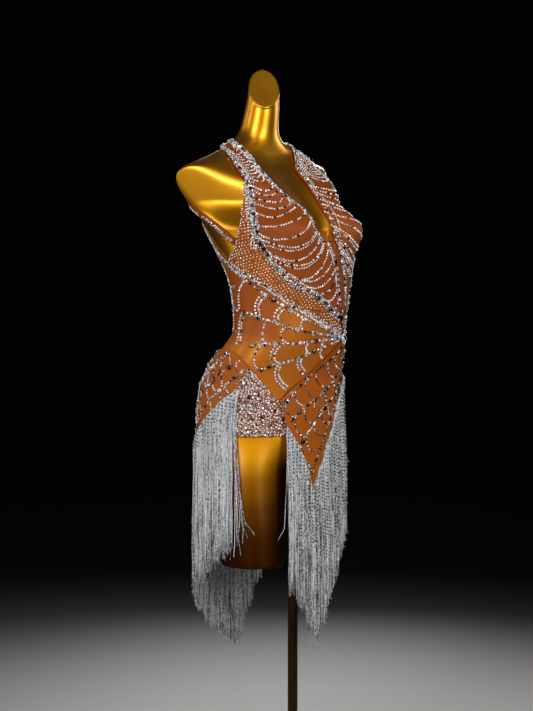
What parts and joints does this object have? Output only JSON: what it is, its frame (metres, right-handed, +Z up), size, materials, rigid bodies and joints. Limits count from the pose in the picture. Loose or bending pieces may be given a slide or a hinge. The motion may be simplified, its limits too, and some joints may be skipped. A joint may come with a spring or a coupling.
{
  "type": "latin dance dress on limbless dress form",
  "caption": "Halter dance dress with cups, sheer midriff, briefs, asymmetric wrap skirt panels and fringe, worn by a smooth limbless form on a pole stand.",
  "frame": {"origin": "centre of the stand base's underside", "axes": "+Z up; the dress faces -Y; the wearer's right is -X"},
  "size_m": [0.38, 0.38, 1.5813],
  "materials": {
    "gold_form": "satin gold metallic coat",
    "rust_satin": "rust stretch satin with a soft sheen",
    "sheer_mesh": "fine sheer stretch mesh, rust to nude",
    "stoned_stretch": "stretch fabric closely covered with small clear stones",
    "silver_fringe": "silver-grey twisted metallic strands",
    "stand_metal": "dark bronze, satin"
  },
  "bodies": {
    "root": {"dress_form": "gold_form", "cup_right": "rust_satin", "cup_left": "rust_satin", "centre_strip": "rust_satin", "side_band_right": "sheer_mesh", "side_band_left": "sheer_mesh", "neck_bridge": "sheer_mesh", "midriff_front": "sheer_mesh", "midriff_left": "sheer_mesh", "back_panel": "sheer_mesh", "side_strap_right": "rust_satin", "side_strap_left": "rust_satin", "back_strap_right": "rust_satin", "back_strap_left": "rust_satin", "briefs": "stoned_stretch", "briefs_gusset": "stoned_stretch", "skirt_front": "rust_satin", "skirt_back": "rust_satin", "fringe_front": "silver_fringe", "fringe_back_right": "silver_fringe", "fringe_back_left": "silver_fringe", "stand_pole": "stand_metal", "stand_base": "stand_metal"}
  },
  "joints": []
}
